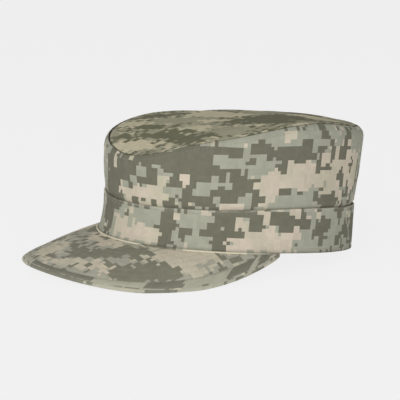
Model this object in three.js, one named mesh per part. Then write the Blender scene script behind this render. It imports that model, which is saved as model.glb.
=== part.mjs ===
// A soft patrol cap: an oval band, a crown side wall that grows taller towards the back,
// an oval top panel and a stiff curved visor, lying on a table on its visor and the back of its band.
// Millimetres, +Z up, the visor points along -Y, and the origin is under the middle of the cap.
import * as THREE from "three";

// Band: the folded strip round the head
const bandLength = 205; // outside, front to back, along the lower edge
const bandWidth = 181.4; // outside, ear to ear, along the lower edge
const bandHeight = 34; // lower edge to upper edge
const bandWall = 2.4; // two layers of cloth and the seam allowance between them
const bandEdgeRound = 0.7; // the folded edges are rounded by this much
const rimSideRise = 3.7; // the lower edge arches up this much over the ears

// Crown side: the upright wall between the band and the top panel
const crownHeight = 97.1; // lower edge of the band to the top seam, at the back
const crownLean = 4.8; // the soft crown stands this much higher on the right, and lower on the left
const crownWall = 1.6; // cloth and its fusing
const crownTuck = 7; // the wall hangs this far down inside the band
const bandStep = 0.8; // the wall comes out this far inside the band's outer face
const emergeHeight = 3; // the wall has left the band by this height above its upper edge
const shoulderDrop = { front: 7, back: 9.2 }; // the wall is widest this far under the top seam
const seamInset = { front: 2.9, back: 7 }; // from the widest line in to the top seam

// Top panel: the oval top of the crown
const topWall = 1.5; // cloth
const topDome = 8.6; // the middle stands this far over the mean height of its seam
const topEdgeRise = 1.1; // the cloth rolls up this much just inside the seam
const seamAllowance = 5.5; // both edges are turned down inside by this much

// Visor
const visorReach = 66.9; // front middle, measured along the slope
const visorWall = 2.7; // stiffener between two cloths
const visorEndWall = 1.4; // where the visor runs out under the band
const visorEndAngle = 81.8; // from the front middle to each end, round the band
const visorFrontSlope = 19.7; // degrees down from the plane of the lower edge
const visorSideSlope = 11.1; // degrees more at the sides
const visorCrown = 2.5; // the middle of each rib bows up this much
const visorSquareness = 3.8; // higher keeps the reach longer towards the ends
const visorFan = 0.42; // the ribs turn outwards by this share of their angle
const flangeHeight = 9; // the turned-up edge of the visor inside the band
const flangeWall = 1.5;

const gap = 0.3; // clearance between neighbouring pieces
const settle = 1.1; // the soft lower edge is pressed flat by this much at the back
const visorSettle = 0.35; // and the visor's cloth edge by this much where it touches

const ribs = 80; // sections round the crown and band
const visorRibs = 48; // sections across the visor

// Round the cap, from the front middle to the back middle.
// seam: height of the top seam as a share of crownHeight. edge: height of the band's upper edge as a
// share of bandHeight. edgeIn and shoulderOut: how far that edge and the widest line of the crown lie
// inside or outside the lower edge, as shares of the band's half length.
const stations = [
  { angle: 0, seam: 0.665, edge: 0.834, edgeIn: 0.024, shoulderOut: -0.009 },
  { angle: 45, seam: 0.803, edge: 0.928, edgeIn: 0.005, shoulderOut: 0.038 },
  { angle: 90, seam: 0.977, edge: 1.101, edgeIn: -0.007, shoulderOut: -0.002 },
  { angle: 135, seam: 0.966, edge: 1.076, edgeIn: 0.006, shoulderOut: 0.004 },
  { angle: 180, seam: 1, edge: 1.062, edgeIn: 0.026, shoulderOut: 0.013 },
];

// Soft folds of the top panel. angle: where round the seam. at: distance from the middle, as a share
// of the way to the seam. turn: the fold's own direction, in degrees. long and wide: half its length
// and half its width, and lift: its height, or its depth if below zero, as shares of the band's half
// length.
const topFolds = [
  { angle: 20, at: 0.62, turn: 75, long: 0.5, wide: 0.17, lift: -0.02 },
  { angle: 58, at: 0.72, turn: 100, long: 0.42, wide: 0.12, lift: 0.014 },
  { angle: -35, at: 0.66, turn: 40, long: 0.4, wide: 0.14, lift: -0.02 },
  { angle: 150, at: 0.5, turn: 110, long: 0.5, wide: 0.2, lift: -0.012 },
  { angle: -110, at: 0.6, turn: 80, long: 0.45, wide: 0.14, lift: 0.014 },
];

// Soft dents and bulges of the crown's side wall. angle: where round the cap. at: height as a share
// of the way from the band to the top seam. long: half its height. wide: half its width, in degrees.
// lift: outwards, or inwards if below zero, as a share of the band's half length.
const sideFolds = [
  { angle: 8, at: 0.35, long: 0.5, wide: 22, lift: -0.014 },
  { angle: 47, at: 0.6, long: 0.7, wide: 10, lift: 0.009 },
  { angle: 78, at: 0.5, long: 0.6, wide: 13, lift: -0.007 },
  { angle: 125, at: 0.55, long: 0.7, wide: 16, lift: 0.009 },
  { angle: 160, at: 0.45, long: 0.6, wide: 14, lift: -0.01 },
  { angle: -30, at: 0.55, long: 0.7, wide: 12, lift: 0.008 },
  { angle: -65, at: 0.5, long: 0.6, wide: 15, lift: -0.009 },
  { angle: -105, at: 0.6, long: 0.7, wide: 14, lift: 0.008 },
  { angle: -150, at: 0.5, long: 0.6, wide: 18, lift: -0.009 },
];

const halfLength = bandLength / 2;
const halfWidth = bandWidth / 2;
const radians = THREE.MathUtils.degToRad;

// A smooth closed curve through one column of the stations, the same on both sides of the cap.
function roundTheCap(column) {
  const half = stations.map((row) => row[column]);
  const whole = [...half, ...half.slice(1, -1).reverse()];
  const curve = new THREE.CatmullRomCurve3(
    whole.map((value) => new THREE.Vector3(value, 0, 0)),
    true,
    "catmullrom",
    0.5,
  );
  return (angle) => curve.getPoint(THREE.MathUtils.euclideanModulo(angle / (2 * Math.PI), 1)).x;
}

const seamShare = roundTheCap("seam");
const edgeShare = roundTheCap("edge");
const edgeIn = roundTheCap("edgeIn");
const shoulderOut = roundTheCap("shoulderOut");

// The outward direction of the oval at an angle from the front middle, seen from above.
function outward(angle) {
  return new THREE.Vector3(
    Math.sin(angle) / halfWidth,
    -Math.cos(angle) / halfLength,
    0,
  ).normalize();
}

// A point at a height, standing out from the oval of the lower edge by some distance.
function onOval(angle, out, height) {
  return new THREE.Vector3(
    halfWidth * Math.sin(angle),
    -halfLength * Math.cos(angle),
    height,
  ).addScaledVector(outward(angle), out);
}

const rimHeight = (angle) => rimSideRise * Math.sin(angle) ** 2;
const edgeHeight = (angle) => bandHeight * edgeShare(angle);
const edgeOut = (angle) => -halfLength * edgeIn(angle);
// Where the band's outer face stands at a height, from the oval of its lower edge.
function faceOut(angle, height) {
  const low = rimHeight(angle);
  return (edgeOut(angle) * (height - low)) / (edgeHeight(angle) - low);
}

// A size that changes evenly from the front of the cap to its back.
const along = (size, angle) =>
  THREE.MathUtils.lerp(size.front, size.back, (1 - Math.cos(angle)) / 2);

const seamHeight = (angle) => crownHeight * seamShare(angle) + crownLean * Math.sin(angle);
const widest = (angle) => halfLength * shoulderOut(angle);
const seamOut = (angle) => widest(angle) - along(seamInset, angle);

// One soft fold: 1 on its middle line, and fading to 0 at its half length and half width.
function fade(along, across) {
  const far = along * along + across * across;
  return far < 1 ? (1 - far) ** 2 : 0;
}

function sideFold(angle, share) {
  let lift = 0;
  for (const fold of sideFolds) {
    const turned = angle - radians(fold.angle);
    const across = Math.atan2(Math.sin(turned), Math.cos(turned)) / radians(fold.wide);
    lift += halfLength * fold.lift * fade((share - fold.at) / fold.long, across);
  }
  return lift;
}

function topFold(x, y) {
  let lift = 0;
  for (const fold of topFolds) {
    const middle = onOval(radians(fold.angle), 0, 0).multiplyScalar(fold.at);
    const turn = radians(fold.turn);
    const dx = (x - middle.x) / halfLength;
    const dy = (y - middle.y) / halfLength;
    const along = (dx * Math.cos(turn) + dy * Math.sin(turn)) / fold.long;
    const across = (dy * Math.cos(turn) - dx * Math.sin(turn)) / fold.wide;
    lift += halfLength * fold.lift * fade(along, across);
  }
  return lift;
}

// A closed skin over rings of points. The rings follow one another over the surface. With no poles,
// the last ring joins the first, and with poles, each end closes on its own middle point.
function skin(rings, poles) {
  const count = rings[0].length;
  const points = rings.flat();
  const faces = [];
  const last = poles ? rings.length - 1 : rings.length;
  for (let r = 0; r < last; r++) {
    const here = r * count;
    const next = ((r + 1) % rings.length) * count;
    for (let i = 0; i < count; i++) {
      const j = (i + 1) % count;
      faces.push(here + i, here + j, next + j, here + i, next + j, next + i);
    }
  }
  if (poles) {
    const start = points.push(poles[0]) - 1;
    const end = points.push(poles[1]) - 1;
    const lastRing = (rings.length - 1) * count;
    for (let i = 0; i < count; i++) {
      const j = (i + 1) % count;
      faces.push(start, j, i, end, lastRing + i, lastRing + j);
    }
  }
  return { points, faces };
}

// A closed skin along sections that all have the same number of points, with flat ends.
function bar(sections) {
  const count = sections[0].length;
  const points = sections.flat();
  const faces = [];
  for (let s = 0; s < sections.length - 1; s++) {
    for (let i = 0; i < count; i++) {
      const j = (i + 1) % count;
      const a = s * count;
      const b = a + count;
      faces.push(a + i, a + j, b + j, a + i, b + j, b + i);
    }
  }
  const flat = (section) => {
    const away = new THREE.Vector3().subVectors(section[section.length - 1], section[0]).setZ(0);
    const level = away.lengthSq() > 0 ? away.normalize() : new THREE.Vector3(1, 0, 0);
    return section.map((p) => new THREE.Vector2(p.dot(level), p.z));
  };
  const lastStart = (sections.length - 1) * count;
  for (const [section, start, turned] of [
    [sections[0], 0, true],
    [sections[sections.length - 1], lastStart, false],
  ]) {
    for (const [a, b, c] of THREE.ShapeUtils.triangulateShape(flat(section), [])) {
      faces.push(start + a, start + (turned ? c : b), start + (turned ? b : c));
    }
  }
  return { points, faces };
}

const angles = Array.from({ length: ribs }, (_, i) => (2 * Math.PI * i) / ribs);
const ring = (place) => angles.map((angle) => place(angle));

// The band's section, from the lower edge up its outer face and down its inner face.
function bandRings() {
  const outer = (share, out) =>
    ring((angle) => {
      const low = rimHeight(angle);
      const height = low + (edgeHeight(angle) - low) * share;
      return onOval(angle, edgeOut(angle) * share + out, height);
    });
  const roundShare = bandEdgeRound / bandHeight;
  return [
    outer(0, -bandEdgeRound),
    outer(roundShare, 0),
    outer(0.33, 0),
    outer(0.67, 0),
    outer(1 - roundShare, 0),
    outer(1, -bandEdgeRound),
    outer(1, bandEdgeRound - bandWall),
    outer(1 - roundShare, -bandWall),
    outer(0.5, -bandWall),
    outer(roundShare, -bandWall),
    outer(0, bandEdgeRound - bandWall),
  ];
}

// Height and outward place of the crown's outer face, from where it leaves the band to its widest line.
function wallPoint(angle, share, inwards) {
  const low = edgeHeight(angle) + emergeHeight;
  const high = seamHeight(angle) - along(shoulderDrop, angle);
  const out = THREE.MathUtils.lerp(edgeOut(angle) - bandStep, widest(angle), share);
  return onOval(angle, out + sideFold(angle, share) - inwards, low + (high - low) * share);
}

// A point on the turn from the widest line in to the top seam.
function shoulderPoint(angle, quarter, inwards) {
  const turn = (quarter * Math.PI) / 2;
  const reach = along(seamInset, angle) - gap / 2 - inwards;
  const drop = along(shoulderDrop, angle);
  return onOval(
    angle,
    seamOut(angle) + gap / 2 + reach * Math.cos(turn),
    seamHeight(angle) - drop + (drop - inwards) * Math.sin(turn),
  );
}

function crownSideRings() {
  const hidden = bandWall + gap;
  const tucked = (drop, inwards) =>
    ring((angle) => {
      const height = edgeHeight(angle) - drop;
      return onOval(angle, faceOut(angle, height) - hidden - inwards, height);
    });
  const wall = (share, inwards) => ring((angle) => wallPoint(angle, share, inwards));
  const turned = (quarter, inwards) => ring((angle) => shoulderPoint(angle, quarter, inwards));
  const allowance = (out, drop) =>
    ring((angle) => onOval(angle, seamOut(angle) + gap / 2 + out, seamHeight(angle) - drop));
  return [
    tucked(crownTuck, 0),
    tucked(0, 0),
    wall(0, 0),
    wall(0.25, 0),
    wall(0.5, 0),
    wall(0.75, 0),
    wall(1, 0),
    turned(0.35, 0),
    turned(0.7, 0),
    allowance(crownWall / 2, 0),
    allowance(0, crownWall / 2),
    allowance(0, seamAllowance),
    allowance(crownWall / 2, seamAllowance),
    allowance(crownWall / 2, seamAllowance - crownWall),
    wall(1, crownWall),
    wall(0.5, crownWall),
    wall(0, crownWall),
    tucked(crownTuck, crownWall),
  ];
}

const seamMean = angles.reduce((sum, angle) => sum + seamHeight(angle), 0) / ribs;
const seamTilt = (seamHeight(0) - seamHeight(Math.PI)) / 2;

// The top panel is stretched across its seam like a skin: the seam's tilt runs straight across the
// panel, its waves fade towards the middle, and the cloth domes up a little.
function topPoint(angle, share, under) {
  const edge = onOval(angle, seamOut(angle) - gap / 2, seamHeight(angle));
  const tilt = seamTilt * Math.cos(angle) + crownLean * Math.sin(angle);
  const waves = seamHeight(angle) - seamMean - tilt;
  const point = new THREE.Vector3().lerp(edge, share);
  const dome = topDome * (1 - share ** 2.4);
  const folds = topFold(point.x, point.y) * (1 - share ** 6);
  point.z = seamMean + tilt * share + waves * share ** 2 + dome + folds - under;
  return point;
}

function topRings() {
  const shares = [0.2, 0.4, 0.6, 0.78, 0.92];
  const panel = (share, rise) => ring((angle) => topPoint(angle, share, -rise));
  const allowance = (inwards, drop) =>
    ring((angle) =>
      onOval(angle, seamOut(angle) - gap / 2 - inwards, seamHeight(angle) - drop),
    );
  return [
    ...shares.map((share) => panel(share, -topWall)),
    allowance(topWall, topWall),
    allowance(topWall, seamAllowance),
    allowance(0, seamAllowance),
    allowance(0, topWall / 2),
    allowance(topWall / 3, -topEdgeRise / 4),
    allowance(topWall * 1.5, -topEdgeRise),
    ...shares.map((share) => panel(share, 0)).reverse(),
  ];
}

// One rib of the visor: a turned-up flange inside the band, then the brim under the band's edge and
// out along its slope.
function visorSection(share) {
  const angle = share * radians(visorEndAngle);
  const reach = visorReach * (1 - Math.abs(share) ** visorSquareness);
  const slope = radians(visorFrontSlope + visorSideSlope * Math.sin(angle) ** 2);
  const fan = visorFan * angle;
  const along = new THREE.Vector3(
    Math.sin(fan) * Math.cos(slope),
    -Math.cos(fan) * Math.cos(slope),
    -Math.sin(slope),
  );
  const root = onOval(angle, 0, rimHeight(angle) - gap);
  const full = reach / visorReach;
  const wall = visorEndWall + (visorWall - visorEndWall) * Math.sqrt(full);
  const brim = (part, under) => {
    const point = root.clone().addScaledVector(along, reach * part);
    point.z += visorCrown * full * 4 * part * (1 - part) - under;
    return point;
  };
  const inside = bandWall + gap;
  const flange = (inwards, rise) => {
    const height = rimHeight(angle) + rise;
    return onOval(angle, faceOut(angle, height) - inside - inwards, height);
  };
  return [
    flange(0, flangeHeight),
    flange(0, -gap),
    root,
    brim(0.33, 0),
    brim(0.66, 0),
    brim(0.96, 0),
    brim(1, wall * 0.3),
    brim(1, wall * 0.75),
    brim(0.97, wall),
    brim(0.66, wall),
    brim(0.33, wall),
    brim(0, wall),
    flange(flangeWall, -gap - wall),
    flange(flangeWall, flangeHeight),
  ];
}

function visorSections() {
  const lastShare = 0.994; // the ribs stop where the brim has run out
  return Array.from({ length: visorRibs + 1 }, (_, i) => {
    const turn = ((2 * i) / visorRibs - 1) * (Math.PI / 2);
    return visorSection(lastShare * Math.sin(turn));
  });
}

// Lowest point of some points once the cap is tipped back by an angle, front up.
const tipped = (point, pitch) => point.clone().applyAxisAngle(new THREE.Vector3(1, 0, 0), -pitch);
const lowest = (points, pitch) => Math.min(...points.map((point) => tipped(point, pitch).z));

// The angle at which the visor and the back of the band touch the table together.
function restPitch(bandPoints, visorPoints) {
  let low = 0;
  let high = radians(30);
  for (let step = 0; step < 40; step++) {
    const middle = (low + high) / 2;
    const bandLow = lowest(bandPoints, middle) + settle;
    const visorLow = lowest(visorPoints, middle) + visorSettle;
    if (visorLow < bandLow) low = middle;
    else high = middle;
  }
  return (low + high) / 2;
}

const pieces = {
  band: skin(bandRings(), null),
  crown_side: skin(crownSideRings(), null),
  crown_top: skin(topRings(), [
    new THREE.Vector3(0, 0, seamMean + topDome + topFold(0, 0) - topWall),
    new THREE.Vector3(0, 0, seamMean + topDome + topFold(0, 0)),
  ]),
  visor: bar(visorSections()),
};

const pitch = restPitch(pieces.band.points, pieces.visor.points);
const table = lowest(pieces.band.points, pitch) + settle;
for (const piece of Object.values(pieces)) {
  piece.points = piece.points.map((point) => {
    const laid = tipped(point, pitch);
    laid.z = Math.max(laid.z - table, 0);
    return laid;
  });
}

// Under the middle of the whole cap, at the height of the table.
const reachOf = new THREE.Box3().setFromPoints(
  Object.values(pieces).flatMap((piece) => piece.points),
);
const middle = reachOf.getCenter(new THREE.Vector3()).setZ(0);

const cloth = {
  band: new THREE.MeshStandardMaterial({ color: 0x8f8d7a, roughness: 0.95, metalness: 0 }),
  crown_side: new THREE.MeshStandardMaterial({ color: 0x929080, roughness: 0.95, metalness: 0 }),
  crown_top: new THREE.MeshStandardMaterial({ color: 0x7f7c69, roughness: 0.95, metalness: 0 }),
  visor: new THREE.MeshStandardMaterial({ color: 0x8b8875, roughness: 0.93, metalness: 0 }),
};

const cap = new THREE.Group();
for (const [name, piece] of Object.entries(pieces)) {
  const geometry = new THREE.BufferGeometry().setFromPoints(piece.points);
  geometry.setIndex(piece.faces);
  geometry.computeVertexNormals();
  const mesh = new THREE.Mesh(geometry, cloth[name]);
  mesh.name = name;
  mesh.position.copy(middle).negate();
  cap.add(mesh);
}

export default cap;
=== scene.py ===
import math

import bpy
from mathutils import Matrix, Vector, noise


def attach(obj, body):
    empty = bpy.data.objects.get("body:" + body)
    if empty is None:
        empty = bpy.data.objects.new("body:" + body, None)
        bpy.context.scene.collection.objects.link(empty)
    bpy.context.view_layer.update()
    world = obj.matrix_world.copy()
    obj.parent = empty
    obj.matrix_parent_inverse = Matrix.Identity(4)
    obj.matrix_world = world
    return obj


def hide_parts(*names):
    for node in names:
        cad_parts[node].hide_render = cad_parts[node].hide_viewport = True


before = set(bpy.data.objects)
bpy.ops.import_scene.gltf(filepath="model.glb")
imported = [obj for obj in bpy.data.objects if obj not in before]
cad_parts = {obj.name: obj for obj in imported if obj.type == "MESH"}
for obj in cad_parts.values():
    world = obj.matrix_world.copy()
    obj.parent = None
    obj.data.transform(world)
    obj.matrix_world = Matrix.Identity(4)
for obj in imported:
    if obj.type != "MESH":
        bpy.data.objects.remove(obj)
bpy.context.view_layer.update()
mm = 0.001

# the cap's cut, in millimetres; pairs are (front, back), and pressTurn is (middle, half width) in degrees.
# In each panel, softness is the (size, height, noise layer) of its broad and of its small unevenness.
cap = {
    "length": 205.0,
    "width": 181.4,
    "bandHeight": 34.0,
    "bandWall": 2.4,
    "bandEdgeRound": 0.7,
    "rimSideRise": 3.7,
    "crownHeight": 97.1,
    "crownLean": 4.8,
    "crownWall": 1.6,
    "bandStep": 0.8,
    "emerge": 3.0,
    "seamAllowance": 5.5,
    "gap": 0.3,
    "press": 1.3,
    "pressTurn": (-42, 44),
    "shoulderDrop": (7.0, 9.2),
    "seamInset": (2.9, 7.0),
}
# angle from the front: crown seam, band edge, lean of the band and bulge of the shoulder, as shares of the
# crown's height, the band's height and, for the last two, half the cap's length
stations = {
    0: (0.665, 0.834, 0.024, -0.009),
    45: (0.803, 0.928, 0.005, 0.038),
    90: (0.977, 1.101, -0.007, -0.002),
    135: (0.966, 1.076, 0.006, 0.004),
    180: (1.0, 1.062, 0.026, 0.013),
}
# the crown seam sags or stands a little: middle and half width in degrees, lift
seamSags = (
    (14, 34, -2.0), (-57, 28, 1.5), (-97, 26, -1.6), (-138, 26, 1.6), (172, 38, -1.6),
)
# how the cap lies: its front is held up a little by the visor
lying = {"tip": 6.825, "table": -11.0, "moveY": 26.86}

halfLong = cap["length"] / 2
halfWide = cap["width"] / 2


def blendTo(a, b, share):
    return a + (b - a) * share


def roundTheCap(column, angle):
    knots = [stations[key][column] for key in (0, 45, 90, 135, 180, 135, 90, 45)]
    spot = (angle / (2 * math.pi)) % 1 * 8
    start = int(spot) % 8
    t = spot - int(spot)
    before, a, b, after = (knots[(start + step) % 8] for step in (-1, 0, 1, 2))
    leave = (b - before) / 2
    arrive = (after - a) / 2
    return (
        a * (2 * t**3 - 3 * t**2 + 1)
        + leave * (t**3 - 2 * t**2 + t)
        + b * (3 * t**2 - 2 * t**3)
        + arrive * (t**3 - t**2)
    )


def outward(angle):
    x = math.sin(angle) / halfWide
    y = -math.cos(angle) / halfLong
    size = math.hypot(x, y)
    return x / size, y / size


def onOval(angle, out, height):
    x, y = outward(angle)
    return Vector((halfWide * math.sin(angle) + x * out, -halfLong * math.cos(angle) + y * out, height))


def frontToBack(front, back, angle):
    return blendTo(front, back, (1 - math.cos(angle)) / 2)


def rimHeight(angle):
    return cap["rimSideRise"] * math.sin(angle) ** 2


def edgeHeight(angle):
    return cap["bandHeight"] * roundTheCap(1, angle)


def edgeOut(angle):
    return -halfLong * roundTheCap(2, angle)


def faceOut(angle, height):
    rim = rimHeight(angle)
    return edgeOut(angle) * (height - rim) / (edgeHeight(angle) - rim)


def seamHeight(angle):
    sag = 0.0
    for middle, wide, lift in seamSags:
        sag += lift * fade(turnBetween(angle, math.radians(middle)) / math.radians(wide), 0)
    return cap["crownHeight"] * roundTheCap(0, angle) + cap["crownLean"] * math.sin(angle) + sag


# the crown is pressed in a little at the wearer's right front
def shoulderOut(angle):
    middle, wide = cap["pressTurn"]
    pressed = cap["press"] * fade(turnBetween(angle, math.radians(middle)) / math.radians(wide), 0)
    return halfLong * roundTheCap(3, angle) - pressed


def shoulderDrop(angle):
    return frontToBack(*cap["shoulderDrop"], angle)


def seamInset(angle):
    return frontToBack(*cap["seamInset"], angle)


def seamOut(angle):
    return shoulderOut(angle) - seamInset(angle)


def fade(across, along):
    near = across**2 + along**2
    return (1 - near) ** 2 if near < 1 else 0.0


def turnBetween(angle, other):
    return (angle - other + math.pi) % (2 * math.pi) - math.pi


def groove(distance, width, depth):
    return -depth * math.exp(-((distance / width) ** 2))


def unevenness(point, size, height, layer=0.0):
    return height * noise.noise(Vector((point.x / size, point.y / size, point.z / size + layer)))


tipTurn = Matrix.Rotation(-math.radians(lying["tip"]), 3, "X")


def layDown(point):
    laid = tipTurn @ point
    return Vector((laid.x, laid.y + lying["moveY"], max(laid.z - lying["table"], 0.0))) * mm


# length round the head opening from the middle of the front, towards the wearer's left
def lengthRound(angle, steps=720):
    total = 0.0
    last = onOval(0, 0, 0)
    for step in range(1, steps + 1):
        here = onOval(angle * step / steps, 0, 0)
        total += (here - last).length
        last = here
    return math.copysign(total, angle)


def startGrid(name, columns, rows):
    bpy.ops.object.select_all(action="DESELECT")
    bpy.ops.mesh.primitive_grid_add(x_subdivisions=columns, y_subdivisions=rows, size=2)
    sheet = bpy.context.object
    sheet.name = name
    sheet.data.name = name
    return sheet


# a flat grid is bent into a closed panel: places[row][column] gives each vertex,
# and flat[row][column] where it lies on the flat cloth
def bendGrid(name, places, flat, wearAndPaintedLight):
    rows = len(places) - 1
    columns = len(places[0]) - 1
    sheet = startGrid(name, columns, rows)
    mesh = sheet.data
    spots = []
    for vertex in mesh.vertices:
        spots.append((round((vertex.co.y + 1) / 2 * rows), round((vertex.co.x + 1) / 2 * columns)))
    cloth = mesh.uv_layers[0] if mesh.uv_layers else mesh.uv_layers.new()
    cloth.name = "cloth"
    for loop in mesh.loops:
        row, column = spots[loop.vertex_index]
        cloth.data[loop.index].uv = flat[row][column]
    # each vertex keeps its row's mark: above nought pale edge wear that is partly painted highlight, below
    # nought painted shade
    wearAndLightMark = mesh.attributes.new("wearAndPaintedLight", "FLOAT", "POINT")
    for vertex, (row, column) in zip(mesh.vertices, spots):
        vertex.co = places[row][column]
        wearAndLightMark.data[vertex.index].value = wearAndPaintedLight[row]
    finishMesh(sheet)
    return sheet


def editMesh(sheet):
    bpy.ops.object.select_all(action="DESELECT")
    sheet.select_set(True)
    bpy.context.view_layer.objects.active = sheet
    bpy.ops.object.mode_set(mode="EDIT")
    bpy.ops.mesh.select_all(action="SELECT")


def finishMesh(sheet):
    editMesh(sheet)
    bpy.ops.mesh.remove_doubles(threshold=2e-6)
    bpy.ops.mesh.dissolve_degenerate(threshold=1e-6)
    bpy.ops.mesh.normals_make_consistent(inside=False)
    bpy.ops.object.mode_set(mode="OBJECT")
    bpy.ops.object.shade_smooth()


def closeEnds(sheet):
    editMesh(sheet)
    bpy.ops.mesh.fill_holes(sides=0)
    bpy.ops.mesh.normals_make_consistent(inside=False)
    bpy.ops.object.mode_set(mode="OBJECT")
    return sheet


# stitches pull a groove and small puckers into the cloth beside them, which is soft and creased besides
def sewnCloth(panel, angle, away, point):
    swing, turns = panel["puckerDrift"]
    near = sum(math.exp(-((distance / panel["puckerSpread"]) ** 2)) for distance in away)
    wave = math.sin(angle * panel["puckers"] + swing * math.sin(turns * angle))
    sink = groove(away[0], panel["stitchWide"], panel["stitchSink"]) + panel["puckerHeight"] * near * wave
    for size, height, layer in panel["softness"]:
        sink += unevenness(point, size, height, layer)
    return sink


# even steps round the cap, with closer ones beside the back seam
def anglesRound(columns):
    even = [math.pi * (2 * column / columns - 1) for column in range(columns + 1)]
    close = [math.radians(step) for step in (0.22, 0.44, 0.66, 1.4, 1.8, 2.2)]
    return sorted(set(even + [math.pi - step for step in close] + [step - math.pi for step in close]))


# radius, about the cap's own, turns an angle at the back into a length
backSeam = {
    "radius": 96.0,
    "sink": 0.55,
    "wide": 0.9,
    "stitchAway": 3.0,
    "stitchSink": 0.2,
    "stitchWide": 0.7,
}


def backSink(angle):
    away = (math.pi - abs(angle)) * backSeam["radius"]
    stitched = groove(away - backSeam["stitchAway"], backSeam["stitchWide"], backSeam["stitchSink"])
    return groove(away, backSeam["wide"], backSeam["sink"]) + stitched


# rings are (place for an angle, wear and painted light, height for an angle); a last ring like the first closes
# the section.
# Without heights, the panel's cloth lies as it is seen from above.
def panelRound(name, columns, rings):
    angles = anglesRound(columns)
    places = [[layDown(place(angle)) for angle in angles] for place, _, _ in rings]
    if rings[0][2]:
        rounds = [lengthRound(angle, 180) * mm for angle in angles]
        flat = [[(along, up(angle) * mm) for along, angle in zip(rounds, angles)] for _, _, up in rings]
    else:
        flat = [[(point.x, point.y) for point in row] for row in places]
    return bendGrid(name, places, flat, [wearAndPaintedLight for _, wearAndPaintedLight, _ in rings])


# the band, a folded strip round the head

band = {
    "columns": 360,
    "rows": 26,
    "topStitchDown": 2.6,
    "hemUp": 3.2,
    "stitchSink": 0.28,
    "stitchWide": 0.7,
    "hemSink": 0.55,
    "hemWide": 0.6,
    "puckers": 92,
    "puckerHeight": 0.13,
    "puckerSpread": 3,
    "puckerDrift": (2, 5),
    "softness": ((34, 0.45, 0), (11, 0.16, 7)),
    "flare": 1.0,
    "flareUp": 2.2,
    "flareDown": 0.25,
    "waist": 1.0,
    "visorTurn": 84,
    "visorFade": 14,
}


def atVisor(angle):
    inside = math.radians(band["visorTurn"]) - abs(angle)
    return max(0.0, min(1.0, inside / math.radians(band["visorFade"])))


def bandFlare(angle, up):
    return band["flare"] * atVisor(angle) * math.exp(-max(up, 0) / band["flareUp"])


def bandFace(share, out):
    def place(angle):
        rim = rimHeight(angle)
        tall = edgeHeight(angle) - rim
        up = share * tall
        underTop = tall - up - band["topStitchDown"]
        overHem = up - band["hemUp"]
        sink = sewnCloth(band, angle, (underTop, overHem), onOval(angle, 0, rim + up))
        sink += groove(overHem, band["hemWide"], band["hemSink"]) + backSink(angle)
        flare = bandFlare(angle, up)
        shape = flare - band["waist"] * atVisor(angle) * math.sin(math.pi * share)
        lean = edgeOut(angle) * share + out + shape
        outside = out > -cap["bandEdgeRound"] - 0.1
        return onOval(angle, lean + (sink if outside else 0), rim + up - band["flareDown"] * flare)

    return place


def makeBand():
    wall = cap["bandWall"]
    curve = cap["bandEdgeRound"]
    share = curve / cap["bandHeight"]
    rings = []

    def ring(at, out, wearAndPaintedLight, height):
        rings.append((bandFace(at, out), wearAndPaintedLight, lambda angle: height * (edgeHeight(angle) - rimHeight(angle))))

    # the lower edge and the hem strip are marked for painted shade, the upper fold for pale edge wear that is
    # partly painted highlight
    for step in range(4):  # the rounded lower edge
        turn = step / 3 * math.pi / 2
        at = share * (1 - math.cos(turn))
        ring(at, -curve * (1 - math.sin(turn)), -0.6, at)
    for step in range(1, band["rows"]):
        at = blendTo(share, 1 - share, step / band["rows"])
        ring(at, 0, -0.12 if at < 0.09 else 0.0, at)
    for step in range(4):  # the rounded upper fold
        turn = step / 3 * math.pi / 2
        at = 1 - share * (1 - math.sin(turn))
        ring(at, -curve * (1 - math.cos(turn)), 1.0, at)
    # inside the band: pale wear on the folds, and painted shade again at the lower edge
    ring(1, curve - wall, 0.4, 1.04)
    for at in (1 - share, 0.8, 0.6, 0.4, 0.2, share):
        ring(at, -wall, 0.0, 2.05 - at)
    ring(0, curve - wall, 0.3, 2.06)
    ring(0, -curve, -0.6, 2.1)
    return panelRound("bandCloth", band["columns"], rings)


# the side of the crown

side = {
    "columns": 360,
    "rows": 34,
    "tuck": 7.0,
    "topStitchDown": 2.4,
    "stitchSink": 0.3,
    "stitchWide": 0.8,
    "stitchShare": 0.34,
    "puckers": 84,
    "puckerHeight": 0.22,
    "puckerSpread": 4.5,
    "puckerDrift": (1.7, 7),
    "softness": ((45, 0.9, 3), (14, 0.22, 9)),
    "rollLength": 6,
    "rollRows": 8,
    "rollShare": 0.94,
}
# angle, height share, length share, width in degrees, lift
sideFolds = (
    (8, 0.35, 0.5, 22, -0.014), (47, 0.6, 0.7, 10, 0.009), (78, 0.5, 0.6, 13, -0.007),
    (125, 0.55, 0.7, 16, 0.009), (160, 0.45, 0.6, 14, -0.01), (-30, 0.55, 0.7, 12, 0.008),
    (-65, 0.5, 0.6, 15, -0.009), (-105, 0.6, 0.7, 14, 0.008), (-150, 0.5, 0.6, 18, -0.009),
)


def sideFold(angle, share):
    lift = 0.0
    for middle, at, long, wide, size in sideFolds:
        away = turnBetween(angle, math.radians(middle)) / math.radians(wide)
        lift += halfLong * size * fade((share - at) / long, away)
    return lift


# how far the side cloth lies below the crown seam, measured down the cloth
def belowSeam(angle, share, turn):
    tall = seamHeight(angle) - edgeHeight(angle)
    if turn is None:
        return (1 - share) * tall + side["rollLength"]
    return side["rollLength"] * (1 - turn)


def sideDetail(angle, below, point):
    return sewnCloth(side, angle, (below - side["topStitchDown"],), point) + backSink(angle)


def wallPoint(share, inside):
    def place(angle):
        low = edgeHeight(angle) + cap["emerge"]
        high = seamHeight(angle) - shoulderDrop(angle)
        out = blendTo(edgeOut(angle) - cap["bandStep"], shoulderOut(angle), share)
        out += sideFold(angle, share) - inside
        height = blendTo(low, high, share)
        detail = sideDetail(angle, belowSeam(angle, share, None), onOval(angle, 0, height))
        return onOval(angle, out + detail * min(1, share * 6), height)

    return place


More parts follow.
